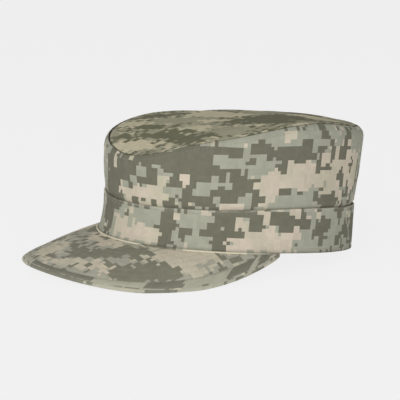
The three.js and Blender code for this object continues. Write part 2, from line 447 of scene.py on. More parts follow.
def shoulderPoint(turnShare, inside):
    def place(angle):
        turn = turnShare * math.pi / 2
        half = cap["gap"] / 2
        reach = seamInset(angle) - half - inside
        drop = shoulderDrop(angle)
        out = seamOut(angle) + half + reach * math.cos(turn)
        height = seamHeight(angle) - drop + (drop - inside) * math.sin(turn)
        detail = sideDetail(angle, belowSeam(angle, 1, turnShare), onOval(angle, 0, height))
        detail *= 1 - turnShare**4
        return onOval(angle, out + detail * math.cos(turn), height + detail * math.sin(turn))

    return place


def sideAllowance(out, drop):
    return lambda angle: onOval(angle, seamOut(angle) + cap["gap"] / 2 + out, seamHeight(angle) - drop)


def tucked(drop, inside):
    def place(angle):
        height = edgeHeight(angle) - drop
        return onOval(angle, faceOut(angle, height) - (cap["bandWall"] + cap["gap"]) - inside, height)

    return place


def makeSide():
    wall = cap["crownWall"]
    down = cap["seamAllowance"]
    last = side["rollRows"]
    rings = []

    # height is measured along the cloth, over the band's edge or over the given base
    def ring(place, wearAndPaintedLight, height, base=lambda angle: 0.0):
        rings.append((place, wearAndPaintedLight, lambda angle: base(angle) + height))

    def shoulderUp(angle):
        return seamHeight(angle) - shoulderDrop(angle) - edgeHeight(angle)

    def seamUp(angle):
        return seamHeight(angle) - edgeHeight(angle)

    ring(tucked(side["tuck"], 0), 0, -side["tuck"])
    ring(tucked(0, 0), 0, 0.0)
    for step in range(side["rows"] + 1):
        share = step / side["rows"]

        def wallUp(angle, share=share):
            return blendTo(cap["emerge"], shoulderUp(angle), share)

        ring(wallPoint(share, 0), 0, 0.0, wallUp)
    for step in range(1, last + 1):
        share = step / last * side["rollShare"]
        # towards the seam the shoulder grows paler, edge wear that is partly painted highlight, and its last row
        # is marked for painted shade beside the seam
        wearAndLightMark = -0.25 if step == last else 0.7 * max(0, share - 0.5)
        ring(shoulderPoint(share, 0), wearAndLightMark, share * 9, shoulderUp)
    edge = ((wall / 2, 0.05), (wall / 5, 0.2), (0, wall / 2))
    # the seam allowance is marked for painted shade down in the seam
    for out, drop in (*edge, (0, down), (wall / 2, down), (wall / 2, down - wall)):
        ring(sideAllowance(out, drop), -1.0, 3 + drop, seamUp)
    for share in (1, 0.75, 0.5, 0.25, 0):
        ring(wallPoint(share, wall), 0, share * 50 - 60)
    ring(tucked(side["tuck"], wall), 0, -66)
    ring(tucked(side["tuck"], 0), 0, -68)
    return panelRound("crownSideCloth", side["columns"], rings)


# the top of the crown

top = {
    "columns": 288,
    "rows": 46,
    "wall": 1.5,
    "dome": 8.6,
    "edgeRise": 1.1,
    "stitchIn": 3.4,
    "stitchSink": 0.22,
    "stitchWide": 0.8,
    "stitchShare": 0.957,
    "puckers": 80,
    "puckerHeight": 0.2,
    "puckerSpread": 5,
    "puckerDrift": (1.4, 6),
    "softness": ((52, 1.1, 5), (15, 0.2, 11)),
}
# angle, distance share, turn, length, width, lift
topFolds = (
    (20, 0.62, 75, 0.5, 0.17, -0.02), (58, 0.72, 100, 0.42, 0.12, 0.014),
    (-35, 0.66, 40, 0.4, 0.14, -0.006), (150, 0.5, 110, 0.5, 0.2, 0.002),
    (-110, 0.6, 80, 0.45, 0.14, 0.014),
)
seamMean = sum(seamHeight(math.radians(step)) for step in range(360)) / 360
seamTilt = (seamHeight(0) - seamHeight(math.pi)) / 2


def topFold(x, y):
    lift = 0.0
    for angle, at, turn, long, wide, size in topFolds:
        middle = onOval(math.radians(angle), 0, 0) * at
        dx = (x - middle.x) / halfLong
        dy = (y - middle.y) / halfLong
        turned = math.radians(turn)
        along = (dx * math.cos(turned) + dy * math.sin(turned)) / long
        across = (dy * math.cos(turned) - dx * math.sin(turned)) / wide
        lift += halfLong * size * fade(along, across)
    return lift


def topPoint(share, under):
    def place(angle):
        edge = onOval(angle, seamOut(angle) - cap["gap"] / 2, 0)
        x = edge.x * share
        y = edge.y * share
        tilt = seamTilt * math.cos(angle) + cap["crownLean"] * math.sin(angle)
        waves = seamHeight(angle) - seamMean - tilt
        height = seamMean + tilt * share + waves * share**2 + top["dome"] * (1 - share**2.4)
        height += topFold(x, y) * (1 - share**6) - under
        fromSeam = (1 - share) * math.hypot(edge.x, edge.y)
        detail = sewnCloth(top, angle, (fromSeam - top["stitchIn"],), Vector((x, y, 0)))
        return Vector((x, y, height + detail * (1 - share**10)))

    return place


def topAllowance(inside, drop):
    return lambda angle: onOval(angle, seamOut(angle) - cap["gap"] / 2 - inside, seamHeight(angle) - drop)


def makeTop():
    wall = top["wall"]
    down = cap["seamAllowance"]
    rise = top["edgeRise"]
    rings = []
    for step in range(top["rows"] + 1):
        share = (1 - (1 - step / top["rows"]) ** 1.35) * 0.965
        # the top grows paler at its edge, edge wear that is partly painted highlight
        rings.append((topPoint(share, 0), max(0, share - 0.93) * 16, None))
    # the rolled edge is pale on top, partly painted highlight, and marked for painted shade down in the seam
    for inside, drop, edgeWearAndLight in (
        (wall * 1.5, -rise, 0.5),
        (wall * 0.9, -0.7 * rise, 0.4),
        (wall / 3, -rise / 5, -0.5),
        (0.1, wall / 4, -1),
        (0, wall / 2, -1),
        (0, down, 0.0),
        (wall, down, 0.0),
        (wall, wall, 0.0),
    ):
        rings.append((topAllowance(inside, drop), edgeWearAndLight, None))
    for share in (0.9, 0.7, 0.45, 0.2, 0):
        rings.append((topPoint(share, wall), 0, None))
    return panelRound("crownTopCloth", top["columns"], rings)


# the visor

visor = {
    "columns": 220,
    "rows": 62,
    "reach": 65.5,
    "wall": 2.4,
    "endWall": 1.4,
    "endAngle": 81.8,
    "frontSlope": 19.7,
    "sideSlope": 11.1,
    "crown": 2.5,
    "squareness": 3.8,
    "fan": 0.42,
    "flange": 9.0,
    "flangeWall": 1.5,
    "cloth": 0.994,
    "softness": (40, 0.5, 2),
    "rowSpacing": 5.6,
    "rowSink": 0.22,
    "rowWide": 0.8,
    "rimWideFront": 4.8,
    "rimWideSide": 6.8,
    "rimThick": 0.32,
    "rimStitchIn": 0.9,
}


def visorFrame(share):
    angle = share * math.radians(visor["endAngle"])
    reach = visor["reach"] * (1 - abs(share) ** visor["squareness"])
    slope = math.radians(visor["frontSlope"] + visor["sideSlope"] * math.sin(angle) ** 2)
    fan = visor["fan"] * angle
    along = Vector((math.sin(fan) * math.cos(slope), -math.cos(fan) * math.cos(slope), -math.sin(slope)))
    root = onOval(angle, 0, rimHeight(angle) - cap["gap"])
    full = reach / visor["reach"]
    wall = visor["endWall"] + (visor["wall"] - visor["endWall"]) * math.sqrt(max(full, 0))
    return angle, reach, along, root, full, wall


def brim(share, part, under):
    angle, reach, along, root, full, wall = visorFrame(share)
    point = root + along * (reach * part)
    point.z += visor["crown"] * full * 4 * part * (1 - part) - under
    return point


# shares of the visor's half turn, from its end on the wearer's right to the other, closer near the ends
visorShares = []
for step in range(visor["columns"] + 1):
    visorShares.append(visor["cloth"] * math.sin((2 * step / visor["columns"] - 1) * math.pi / 2))
visorOutline = [brim(visor["cloth"] * (step / 200 - 1), 1, 0).xy for step in range(401)]


def fromEdge(point):
    here = point.xy
    nearest = 1e9
    for start, end in zip(visorOutline, visorOutline[1:]):
        line = end - start
        at = max(0, min(1, (here - start).dot(line) / line.length_squared))
        nearest = min(nearest, (here - start - line * at).length)
    return nearest


def rimWide(share):
    return blendTo(visor["rimWideFront"], visor["rimWideSide"], min(1, abs(share) / 0.55) ** 2)


def visorSink(distance, share):
    if distance < rimWide(share):
        return 0.0
    away = (distance - rimWide(share)) % visor["rowSpacing"]
    away = min(away, visor["rowSpacing"] - away)
    return groove(away, visor["rowWide"], visor["rowSink"])


def makeVisor():
    parts = [step / visor["rows"] for step in range(visor["rows"] + 1)]
    size, height, layer = visor["softness"]
    grid = []
    distances = []
    for part in parts:
        row = []
        away = []
        for share in visorShares:
            point = brim(share, part * 0.985, 0)
            distance = fromEdge(point)
            full = visorFrame(share)[4]
            lift = unevenness(point, size, height * full, layer) * part
            point.z += visorSink(distance, share) * min(1, part * 8) + lift
            row.append(point)
            away.append(distance)
        grid.append(row)
        distances.append(away)

    def flange(inside, rise):
        row = []
        for share in visorShares:
            angle = visorFrame(share)[0]
            height = rimHeight(angle) + rise
            out = faceOut(angle, height) - (cap["bandWall"] + cap["gap"]) - inside
            row.append(onOval(angle, out, height))
        return row

    rows = [flange(0, visor["flange"]), flange(0, -cap["gap"])]
    rows += grid
    for part, depth in ((0.995, 0.12), (1, 0.3), (1, 0.55), (0.997, 0.8), (0.985, 1)):
        rows.append([brim(share, part, depth * visorFrame(share)[5]) for share in visorShares])
    for part in (0.85, 0.66, 0.5, 0.33, 0.16, 0):
        rows.append([brim(share, part, visorFrame(share)[5]) for share in visorShares])
    inside = cap["bandWall"] + cap["gap"] + visor["flangeWall"]
    lower = []
    for share in visorShares:
        angle, _, _, _, _, wall = visorFrame(share)
        rim = rimHeight(angle)
        lower.append(onOval(angle, faceOut(angle, rim) - inside, rim - cap["gap"] - wall))
    rows += [lower, flange(visor["flangeWall"], visor["flange"]), rows[0]]
    places = [[layDown(point) for point in row] for row in rows]
    flat = [[(point.x, point.y) for point in row] for row in places]
    return closeEnds(bendGrid("visorCloth", places, flat, [0.0] * len(rows))), grid, distances


print("measures ready")
bandCloth = makeBand()
print("band made")
sideCloth = makeSide()
topCloth = makeTop()
print("crown made")
visorCloth, visorGrid, visorDistances = makeVisor()
print("visor made")

for cloth, node, slotName in (
    (bandCloth, "band", "band_cloth"),
    (sideCloth, "crown_side", "side_cloth"),
    (topCloth, "crown_top", "top_cloth"),
    (visorCloth, "visor", "visor_cloth"),
):
    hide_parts(node)
    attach(cloth, "root")


# nodes are added to the material that startMaterial began last
shading = {}


def startMaterial(name):
    material = bpy.data.materials.new(name)
    material.use_nodes = True
    shading["tree"] = material.node_tree
    material.node_tree.nodes.clear()
    shader = addNode("BsdfPrincipled")
    addNode("OutputMaterial", {"Surface": shader.outputs[0]})
    return material, shader


def addNode(kind, inputs=None, **settings):
    node = shading["tree"].nodes.new("ShaderNode" + kind)
    for key, value in settings.items():
        setattr(node, key, value)
    plug(node, inputs or {})
    return node


def plug(node, inputs):
    for key, value in inputs.items():
        if isinstance(value, bpy.types.NodeSocket):
            shading["tree"].links.new(value, node.inputs[key])
        else:
            node.inputs[key].default_value = value


def number(operation, *given, clamp=False):
    return addNode("Math", dict(enumerate(given)), operation=operation, use_clamp=clamp).outputs[0]


# the first times the second, plus the third
def scaled(*given):
    return number("MULTIPLY_ADD", *given)


def vector(operation, *given):
    return addNode("VectorMath", dict(enumerate(given)), operation=operation).outputs[0]


# value, from low, from high, to low, to high
def between(*given):
    return addNode("MapRange", dict(enumerate(given))).outputs[0]


def mixColour(share, first, second, kind="MIX"):
    return addNode("Mix", {0: share, 6: first, 7: second}, data_type="RGBA", blend_type=kind).outputs[2]


def cloudy(where, scale, detail=2.0, roughness=0.5):
    inputs = {"Vector": where, "Scale": scale, "Detail": detail, "Roughness": roughness}
    return addNode("TexNoise", inputs).outputs[0]


def speckle(where, output="Value"):
    return addNode("TexWhiteNoise", {"Vector": where}).outputs[output]


def bumped(height, strength, distance):
    return addNode("Bump", {"Height": height, "Strength": strength, "Distance": distance}).outputs[0]


# a colour as a screen shows it, 0 to 255, made into the one that a shader takes
def fromScreen(*colour):
    return tuple(((part / 255 + 0.055) / 1.055) ** 2.4 for part in colour) + (1.0,)


# the camouflage cloth

# pixel is the side of a square in millimetres, and doubled the shares that are two across and two up;
# a tone shows where its field is over shows, and patchDark and patchTan say what a patch adds to the fields
camo = {
    "pixel": 2.6,
    "doubled": (0.5, 0.45),
    "shows": 0.25,
    "cloudScale": (0.03, 0.036),
    "patchSpread": 1.35,
    "patchDark": {"dark": 1.15, "tan": -0.9, "grey": -0.9},
    "patchTan": {"dark": 0.0, "tan": 1.15, "grey": -0.7},
    "thread": 0.62,
    "ripstop": 5.4,
    # shadow is the colour of painted shade in seams, creases and at the band's lower edge; the pale colour after
    # it is for rubbed edges and painted highlight
    "shadow": (52, 50, 38),
    "paleWearAndHighlight": (214, 207, 190),
}
# the band and the side have the cloth's own tones. The top's are a warmer olive and the visor's lighter: lit and
# shaded copies of the same cloth, painted light. The piping's tan is paler and its dark deeper, a painted
# highlight on its fold with painted shade below it. In each set the tan drifts towards cream
wallTones = {"dark": (111, 110, 95), "grey": (160, 161, 145), "tan": (199, 187, 170), "cream": (186, 181, 159)}
topPaintedLightTones = {"dark": (116, 115, 92), "grey": (164, 161, 136), "tan": (204, 194, 166), "cream": (196, 190, 160)}
visorPaintedLightTones = {"dark": (131, 129, 112), "grey": (171, 169, 153), "tan": (204, 193, 173), "cream": (196, 190, 169)}
pipingPaintedLightTones = {"dark": (104, 102, 86), "grey": (168, 166, 148), "tan": (214, 206, 182), "cream": (210, 204, 180)}
rimTones = {"dark": (120, 120, 106), "grey": (172, 170, 152), "tan": (188, 180, 160), "cream": (186, 182, 163)}


# patches are (tone, across, up, half width, half height, strength, turn), in millimetres and degrees on the
# cloth. offset moves the noise. On the panels that go all round, known is the middle and half width of the
# stretch that the patches lay out, where its busy part starts, and how busy that is.
def dye(piece, name, patches, tones, offset, known=None):
    material, shader = startMaterial(name)
    inMm = vector("MULTIPLY", addNode("UVMap", uv_map="cloth").outputs[0], (1000, 1000, 0))

    # blocks of one pixel, two across, two up or two by two
    pixel = camo["pixel"]
    pair = vector("FLOOR", vector("DIVIDE", inMm, (pixel * 2, pixel * 2, 1)))
    chances = addNode("SeparateColor", {0: speckle(vector("ADD", pair, (offset, 3.5, 0)), "Color")})
    size = addNode("CombineXYZ", {2: 1})
    for axis, share in enumerate(camo["doubled"]):
        doubled = number("LESS_THAN", chances.outputs[axis], share)
        plug(size, {axis: between(doubled, 0, 1, pixel, pixel * 2)})
    block = vector("FLOOR", vector("DIVIDE", inMm, size.outputs[0]))
    spot = vector("MULTIPLY", vector("ADD", block, (0.5, 0.5, 0)), size.outputs[0])

    def scatter(where, across, layer):
        return number("SUBTRACT", speckle(vector("ADD", where, (offset, across, layer))), 0.5)

    def cloud(scale, middle, *move):
        field = cloudy(vector("ADD", spot, move), scale)
        return number("MULTIPLY", number("SUBTRACT", field, middle), wild)

    # two fields, one for the dark tone and one for the tan, made of broad clouds and single pixels
    wild = 0.75
    busy = 0.95
    if known:
        along = addNode("SeparateXYZ", {0: spot}).outputs[0]
        away = number("ABSOLUTE", number("SUBTRACT", along, known[0]))
        wild = between(away, known[1], known[1] + 25, 0.5, 3.3)
        fromBusy = number("ABSOLUTE", number("SUBTRACT", along, known[2] + 35))
        busy = between(fromBusy, 22, 45, known[3], 0.68)
    pairScatter = scatter(pair, 20.5, 2)
    dark = cloud(camo["cloudScale"][0], 0.47, offset * 7, 40, 0)
    dark = scaled(scatter(spot, 0.7, 1), busy, dark)
    dark = scaled(pairScatter, 0.35, dark)
    tan = cloud(camo["cloudScale"][1], 0.475, offset * 5, 400, 9)
    tan = scaled(scatter(spot, 9.7, 4), 0.5, tan)
    tan = scaled(pairScatter, -0.3, tan)
    spread = camo["patchSpread"]
    for kind, across, up, halfWidth, halfHeight, strength, *turned in patches:
        place = {"Vector": spot, "Location": (across, up, 0), "Rotation": (0, 0, math.radians(sum(turned)))}
        place["Scale"] = (halfWidth * spread, halfHeight * spread, 1)
        place = addNode("Mapping", place, vector_type="TEXTURE").outputs[0]
        inside = addNode("TexGradient", {0: place}, gradient_type="SPHERICAL").outputs[1]
        dark = scaled(inside, camo["patchDark"][kind] * strength, dark)
        tan = scaled(inside, camo["patchTan"][kind] * strength, tan)
    drift = between(cloudy(inMm, 0.03, 1), 0.38, 0.62)
    if known:
        drift = number("ADD", drift, between(along, 35, 90, 0.25, -0.3), clamp=True)
    light = mixColour(drift, fromScreen(*tones["tan"]), fromScreen(*tones["cream"]))
    colour = mixColour(number("GREATER_THAN", tan, camo["shows"]), fromScreen(*tones["grey"]), light)
    colour = mixColour(number("GREATER_THAN", dark, camo["shows"]), colour, fromScreen(*tones["dark"]))

    # uneven dye, painted shade in the seams and creases and at the band's lower edge, pale rubbed edges that are
    # partly painted highlight, and the grain of the threads
    mottle = cloudy(inMm, 0.05, 4, 0.6)
    grain = cloudy(inMm, 1.4, 2, 0.7)
    tone = scaled(mottle, 0.22, 0.89)
    tone = scaled(grain, 0.24, number("SUBTRACT", tone, 0.12))
    tone = scaled(scatter(spot, 31.5, 6), 0.1, tone)
    colour = mixColour(1.0, colour, tone, "MULTIPLY")
    wearAndLightMark = addNode("Attribute", attribute_name="wearAndPaintedLight").outputs["Fac"]
    # negative marks mix in painted shade
    shadowed = number("MULTIPLY", wearAndLightMark, -0.75, clamp=True)
    colour = mixColour(shadowed, colour, fromScreen(*camo["shadow"]))
    # positive marks pale the cloth: rubbed edges and painted highlight
    edgeWearAndLight = number("MULTIPLY", wearAndLightMark, between(cloudy(inMm, 0.16, 3, 0.6), 0.35, 0.7), clamp=True)
    colour = mixColour(number("MULTIPLY", edgeWearAndLight, 0.3), colour, fromScreen(*camo["paleWearAndHighlight"]))

    # the weave: crossing threads and the squares of the ripstop
    flat = addNode("SeparateXYZ", {0: inMm})

    def crossed(operation, wave, spacing):
        turned = [number("MULTIPLY", flat.outputs[axis], 2 * math.pi / spacing) for axis in (0, 1)]
        return number(operation, *(number(wave, angle) for angle in turned))

    weave = crossed("MULTIPLY", "SINE", camo["thread"])
    ribs = between(crossed("MAXIMUM", "COSINE", camo["ripstop"]), 0.93, 1.0)
    height = scaled(weave, 0.3, scaled(ribs, 0.35, grain))
    height = scaled(mottle, 1.5, height)
    looks = {
        "Base Color": colour,
        "Normal": bumped(height, 0.55, 0.0003),
        "Roughness": scaled(grain, 0.12, 0.84),
        "Specular IOR Level": 0.06,
        "Sheen Weight": 0.03,
        "Sheen Roughness": 0.6,
    }
    plug(shader, looks)
    piece.data.materials.append(material)


bandPatches = (
    ("dark", -12, 26, 15, 7, 1), ("tan", 6, 13, 15, 12, 1), ("dark", 7.8, 20, 1.8, 4, 2),
    ("dark", 11.1, 26.5, 2.4, 2.2, 2), ("dark", -20, 20, 9, 12, 1.3), ("dark", 38.8, 15.4, 2, 2, 2),
    ("dark", 41, 4.6, 2, 2, 2), ("grey", 11, 16, 3, 5, 1.8), ("grey", 55, 9.8, 5, 4, 1.6),
    ("dark", 17, 30, 5, 2.5, 2), ("dark", 27, 26, 2.5, 2.5, 2), ("grey", 27, 22, 17, 8, 1),
    ("tan", 30, 7, 14, 7, 1.4), ("dark", 47, 19, 7, 9, 1.2), ("tan", 56, 23, 4, 3.5, 1.6),
    ("grey", 70, 22, 12, 7, 1.1), ("tan", 77, 25, 3, 4, 1.6), ("dark", 60, 12, 6, 6, 0.9),
    ("grey", 73, 6, 8, 5, 1.1), ("dark", 79, 15, 7, 4, 1), ("dark", 92, 20, 12, 11, 1.2),
    ("dark", 88, 5, 7, 5, 1.1), ("grey", 90, 17.7, 2.5, 3, 2.4), ("tan", 101, 20, 6, 5, 2.4),
    ("tan", 108, 16, 3, 2.5, 2), ("dark", 115, 23, 7, 7, 1.2), ("tan", 117, 31, 4, 3, 2),
    ("tan", 121.5, 25, 3, 3.4, 2.8), ("dark", 141, 24, 20, 8, 1.2), ("tan", 145.5, 30.5, 5, 4.5, 2.4),
    ("tan", 128, 7, 33, 7, 1.2), ("dark", 145, 10.6, 2, 2, 2.6), ("dark", 153.5, 10.6, 2, 2, 2.6),
    ("dark", 150, 5.5, 2, 2, 2.6), ("grey", 148, 6, 9, 4, 1.2), ("dark", 105.6, 30, 5, 3, 2),
    ("dark", 102.7, 14.6, 3.6, 4, 2), ("dark", 94.4, 24, 4, 4, 1.6), ("dark", 47, 5, 6, 4, 1.8),
    ("grey", 27, 2, 12, 2.5, 1.5), ("grey", 2, 20, 5, 4, 2), ("dark", 112, 29, 4, 2.4, 2),
    ("dark", 114.5, 18, 4, 3, 2), ("dark", 126.5, 29, 3, 2, 1.8), ("tan", 125, 15.5, 6, 3, 1.8),
    ("tan", 146.8, 17, 5, 3, 1.8), ("dark", 165, 14, 4, 4, 1.6), ("dark", 180, 21, 5, 5, 1.6),
    ("grey", 163, 10, 7, 10, 1), ("dark", 174, 18, 7, 11, 1.2), ("grey", 193, 18, 13, 14, 0.9),
    ("dark", 184, 21, 4, 3, 1.7), ("dark", 203, 16, 5, 6, 1.6), ("dark", 194, 9, 3, 3, 1.8),
    ("dark", 196, 29, 2.5, 5, 1.8), ("dark", 215, 12, 4, 5, 1.2), ("dark", 229, 17, 8, 14, 1),
)
sidePatches = (
    ("dark", -14, 27, 18, 10, 1), ("tan", -8, 8, 12, 6, 0.8), ("tan", 27, 8, 22, 9, 1.2),
    ("grey", 17, 25, 9, 6, 1), ("dark", 8.4, 12.9, 1.8, 2.6, 2.2), ("dark", 15.8, 19.9, 2.2, 2.2, 2.2),
    ("dark", 21, 15.2, 2.2, 2.2, 2.2), ("dark", 30.5, 23.7, 4.5, 3.5, 1.8), ("dark", 47.5, 16.5, 2, 2, 2),
    ("dark", 47, 3.5, 5, 3.5, 1.6), ("dark", -22, 9, 10, 10, 1.3), ("grey", -22, 9, 2, 2.6, 2.4),
    ("tan", -14, 29, 2.6, 9, 2.6), ("grey", -8, 26, 2, 4, 2.2), ("grey", -6, 35, 2, 4, 2.2),
    ("tan", 7, 33, 2.6, 4, 2.2), ("dark", 0, 28, 12, 9, 1.6), ("dark", -10, 10, 6, 12, 1.4),
    ("dark", 24, 17, 9, 3, 1.6), ("dark", 13, 27, 4, 6, 2), ("dark", -5, 4, 4, 3, 2),
    ("dark", 14, 2.4, 4, 2.4, 1.8), ("dark", 35, 1, 4, 2.4, 1.8), ("dark", 1, 19, 5, 3, 2),
    ("grey", 25, 14, 5, 3, 2), ("grey", 69, 12.5, 7, 3, 2.2), ("grey", 50, 13, 7, 3, 2),
    ("dark", 95, 28, 4, 3, 2), ("tan", 216, 30, 8, 14, 1.2), ("grey", 34, 31, 4, 3, 2),
    ("tan", 40.5, 20, 3.6, 4, 2.6), ("tan", 59.6, 21, 6, 4, 2.4), ("dark", 69.5, 44, 4, 3, 2),
    ("dark", 86, 30.5, 4, 2.5, 2), ("dark", 114, 8, 3.6, 3.6, 2), ("dark", 23, 5, 2, 2.4, 1.6),
    ("dark", 45, 37, 38, 9, 1.2), ("dark", 80, 17, 34, 17, 1.2), ("grey", 73, 16, 6, 4, 2),
    ("grey", 80, 21, 4.5, 5, 2), ("grey", 90, 19, 5.5, 3.6, 2), ("grey", 89.5, 27, 3, 2.5, 2.2),
    ("grey", 84, 8, 2.2, 4, 2.2), ("grey", 104.5, 7, 4.5, 5, 2), ("tan", 90, 3, 4.5, 3, 2.2),
    ("tan", 99, 3, 4.5, 3.2, 2.2), ("tan", 62, 31, 2.5, 3, 2), ("grey", 87, 35, 9, 4, 1.8),
    ("grey", 110, 34, 21, 8, 1.3), ("dark", 106.4, 35, 5.5, 3, 2.6), ("dark", 87, 42.5, 4.5, 2.5, 2),
    ("dark", 92, 45, 2.4, 2.6, 2), ("dark", 96, 41, 4, 2.4, 2), ("dark", 113, 47, 9, 4.5, 1.6),
    ("dark", 124, 41, 13, 4.5, 1.6), ("dark", 139, 43, 6, 6, 1.6), ("dark", 150, 44, 8, 9, 1.5),
    ("grey", 124, 48, 4, 3.6, 1.6), ("dark", 130, 31, 5, 5, 1.9), ("grey", 130, 36, 2.4, 2.6, 2.4),
    ("tan", 134, 54, 8, 4, 1.6), ("grey", 112, 53, 36, 4.5, 1), ("tan", 143, 25, 27, 11, 1.3),
    ("tan", 121, 14, 8, 12, 1.2), ("dark", 135.5, 14, 3.2, 2.6, 2.6), ("grey", 145, 4.5, 19, 4.5, 1.3),
    ("dark", 163, 9, 3.6, 3.4, 2), ("dark", 176, 6, 9, 4.6, 1.6), ("grey", 159.5, 14, 3, 3, 2),
    ("dark", 184, 4.4, 6, 4, 1.6), ("dark", 145, 35.5, 7, 2, 1.8), ("dark", 164, 36, 4, 4, 1.8),
    ("dark", 167, 55, 7, 4, 1.4), ("dark", 194, 44, 5, 6, 1.6), ("dark", 196, 22, 4, 5, 1.8),
    ("dark", 192.5, 24, 4, 5.5, 2), ("tan", 190, 28, 26, 22, 0.8), ("dark", 173, 31, 5, 3, 1.8),
    ("dark", 163, 29, 3, 4, 1.6), ("dark", 178, 40, 3, 4, 1.7), ("dark", 190, 39, 3, 4, 1.7),
    ("grey", 160, 53, 10, 6, 1), ("dark", 156, 52, 3.2, 3.2, 1.6), ("dark", 168, 56, 4, 3.2, 1.5),
    ("dark", 177, 50, 3.2, 4, 1.5), ("dark", 167, 45, 3.2, 3.2, 1.5), ("dark", 207, 33, 3, 6, 1.5),
    ("dark", 204, 12, 3, 5, 1.5), ("dark", 222, 26, 4, 9, 1.2), ("grey", 212, 50, 10, 8, 0.9),
)
topPatches = (
    ("tan", -7, -50, 24, 8, 1.05, 20), ("dark", 4, -43, 4, 4, 1.6), ("dark", 15, -45, 4, 3.4, 1.6),
    ("tan", 27, -44, 5, 4, 1.4), ("dark", -36, -46, 9, 7, 1), ("dark", 0, -28, 34, 7.5, 1.2, 16),
    ("dark", 34, -33, 20, 9, 1.2, 10), ("tan", -60, -22, 18, 7, 1, 25), ("grey", -34, 1, 20, 8, 0.9, 28),
    ("tan", 5, -6, 15, 6, 1.1, 25), ("tan", -28, 36, 30, 13, 1.1, 20), ("dark", -62, 8, 19, 9, 1, 30),
    ("dark", -52, 24, 9, 5, 1.2), ("tan", 0, 17, 13, 5, 1.2, 20), ("dark", 37, 42, 34, 27, 1.4, 30),
    ("tan", 57, 11, 10, 2.2, 2.2, 55), ("grey", 52, -6, 14, 7, 1.2), ("dark", -35, -20, 12, 5, 1.4, 25),
    ("dark", 0, -16, 14, 4, 1.2, 16), ("dark", 48, -22, 9, 5, 1.6), ("tan", 72, -13, 5, 4, 1.6),
    ("tan", 84, 35, 5, 7, 1.6), ("grey", -2, 66, 14, 6, 1, 40), ("tan", 38, 88, 20, 8, 1.5, 30),
    ("dark", 58, 93, 10, 7, 1.1), ("dark", 10, 92, 16, 8, 1, 30), ("dark", -30, 110, 20, 10, 1),
    ("grey", -40, 88, 14, 9, 1), ("tan", -60, 65, 12, 14, 0.9),
)
visorPatches = (
    ("dark", -32, -72, 16, 4, 1.1, -20), ("tan", -8, -82, 22, 7, 1, -10), ("dark", 0, -107, 18, 6, 1.2, -8),
    ("dark", 31, -88, 24, 9, 1.3, 42), ("dark", 59, -105, 12, 7, 1.3, 40),
    ("dark", 66, -86, 18, 9, 1.2, 45), ("grey", 42, -97, 7, 4, 1.2, 40), ("tan", 64, -56, 25, 17, 1.1, 50),
    ("dark", 78, -36, 3, 4, 1.6), ("dark", 85, -42, 3, 3.4, 1.5), ("dark", 86, -24, 3.4, 8, 1.4),
    ("dark", 92, -8, 3, 4, 0.9), ("tan", 20, -120, 24, 6, 0.9, 20), ("dark", 20, -123, 3.4, 3, 1.4),
    ("dark", 29, -117, 4, 3, 1.4), ("tan", -30, -112, 22, 12, 0.9, -30),
    ("tan", -66, -62, 16, 20, 0.8, -40), ("tan", 82, -62, 9, 5, 1.3, 50), ("dark", 74, -79, 10, 6, 1.2, 45),
    ("dark", -49, -59, 7, 5, 1.8), ("dark", -8, -79, 6, 3, 1.6), ("dark", -17, -122, 8, 3, 1.3, -15),
    ("grey", -30, -106, 10, 4, 1.2, -20),
)
rimPatches = (
    ("grey", -95, 4, 26, 16, 1), ("grey", -45, 4, 24, 16, 1.6), ("dark", 13.5, 4, 34, 16, 2.2),
    ("tan", 28, 9, 2.6, 2.4, 2.4), ("grey", 38, 10, 3, 2, 2.4), ("grey", 69, 4, 19, 16, 1.6),
    ("dark", 102.5, 4, 15, 16, 1.8), ("grey", 133, 4, 19, 16, 1.6), ("dark", 162, 1, 10, 5, 1.6),
    ("grey", 175, 4, 4, 16, 1.6), ("dark", 184, 4, 6, 16, 1.6), ("tan", 200, 4, 9, 16, 1.6),
)

dye(bandCloth, "bandCamo", bandPatches, wallTones, 11.0, (100, 135, 165, 0.95))
dye(sideCloth, "sideCamo", sidePatches, wallTones, 23.0, (100, 135, 150, 1.15))
dye(topCloth, "topCamo", topPatches, topPaintedLightTones, 37.0)
dye(visorCloth, "visorCamo", visorPatches, visorPaintedLightTones, 51.0)
print("cloth dyed")


# the binding sewn round the visor's edge

def ringPoint(share, away):
    column = min(range(len(visorShares)), key=lambda i: abs(visorShares[i] - share))
    last = None
    for row in range(len(visorGrid) - 1, -1, -1):
        here = visorDistances[row][column]
        if here >= away:
            if last is None:
                return visorGrid[row][column].copy()
            before = visorDistances[last][column]
            at = (away - before) / max(here - before, 1e-6)
            return visorGrid[last][column].lerp(visorGrid[row][column], min(max(at, 0), 1))
        last = row
    return None


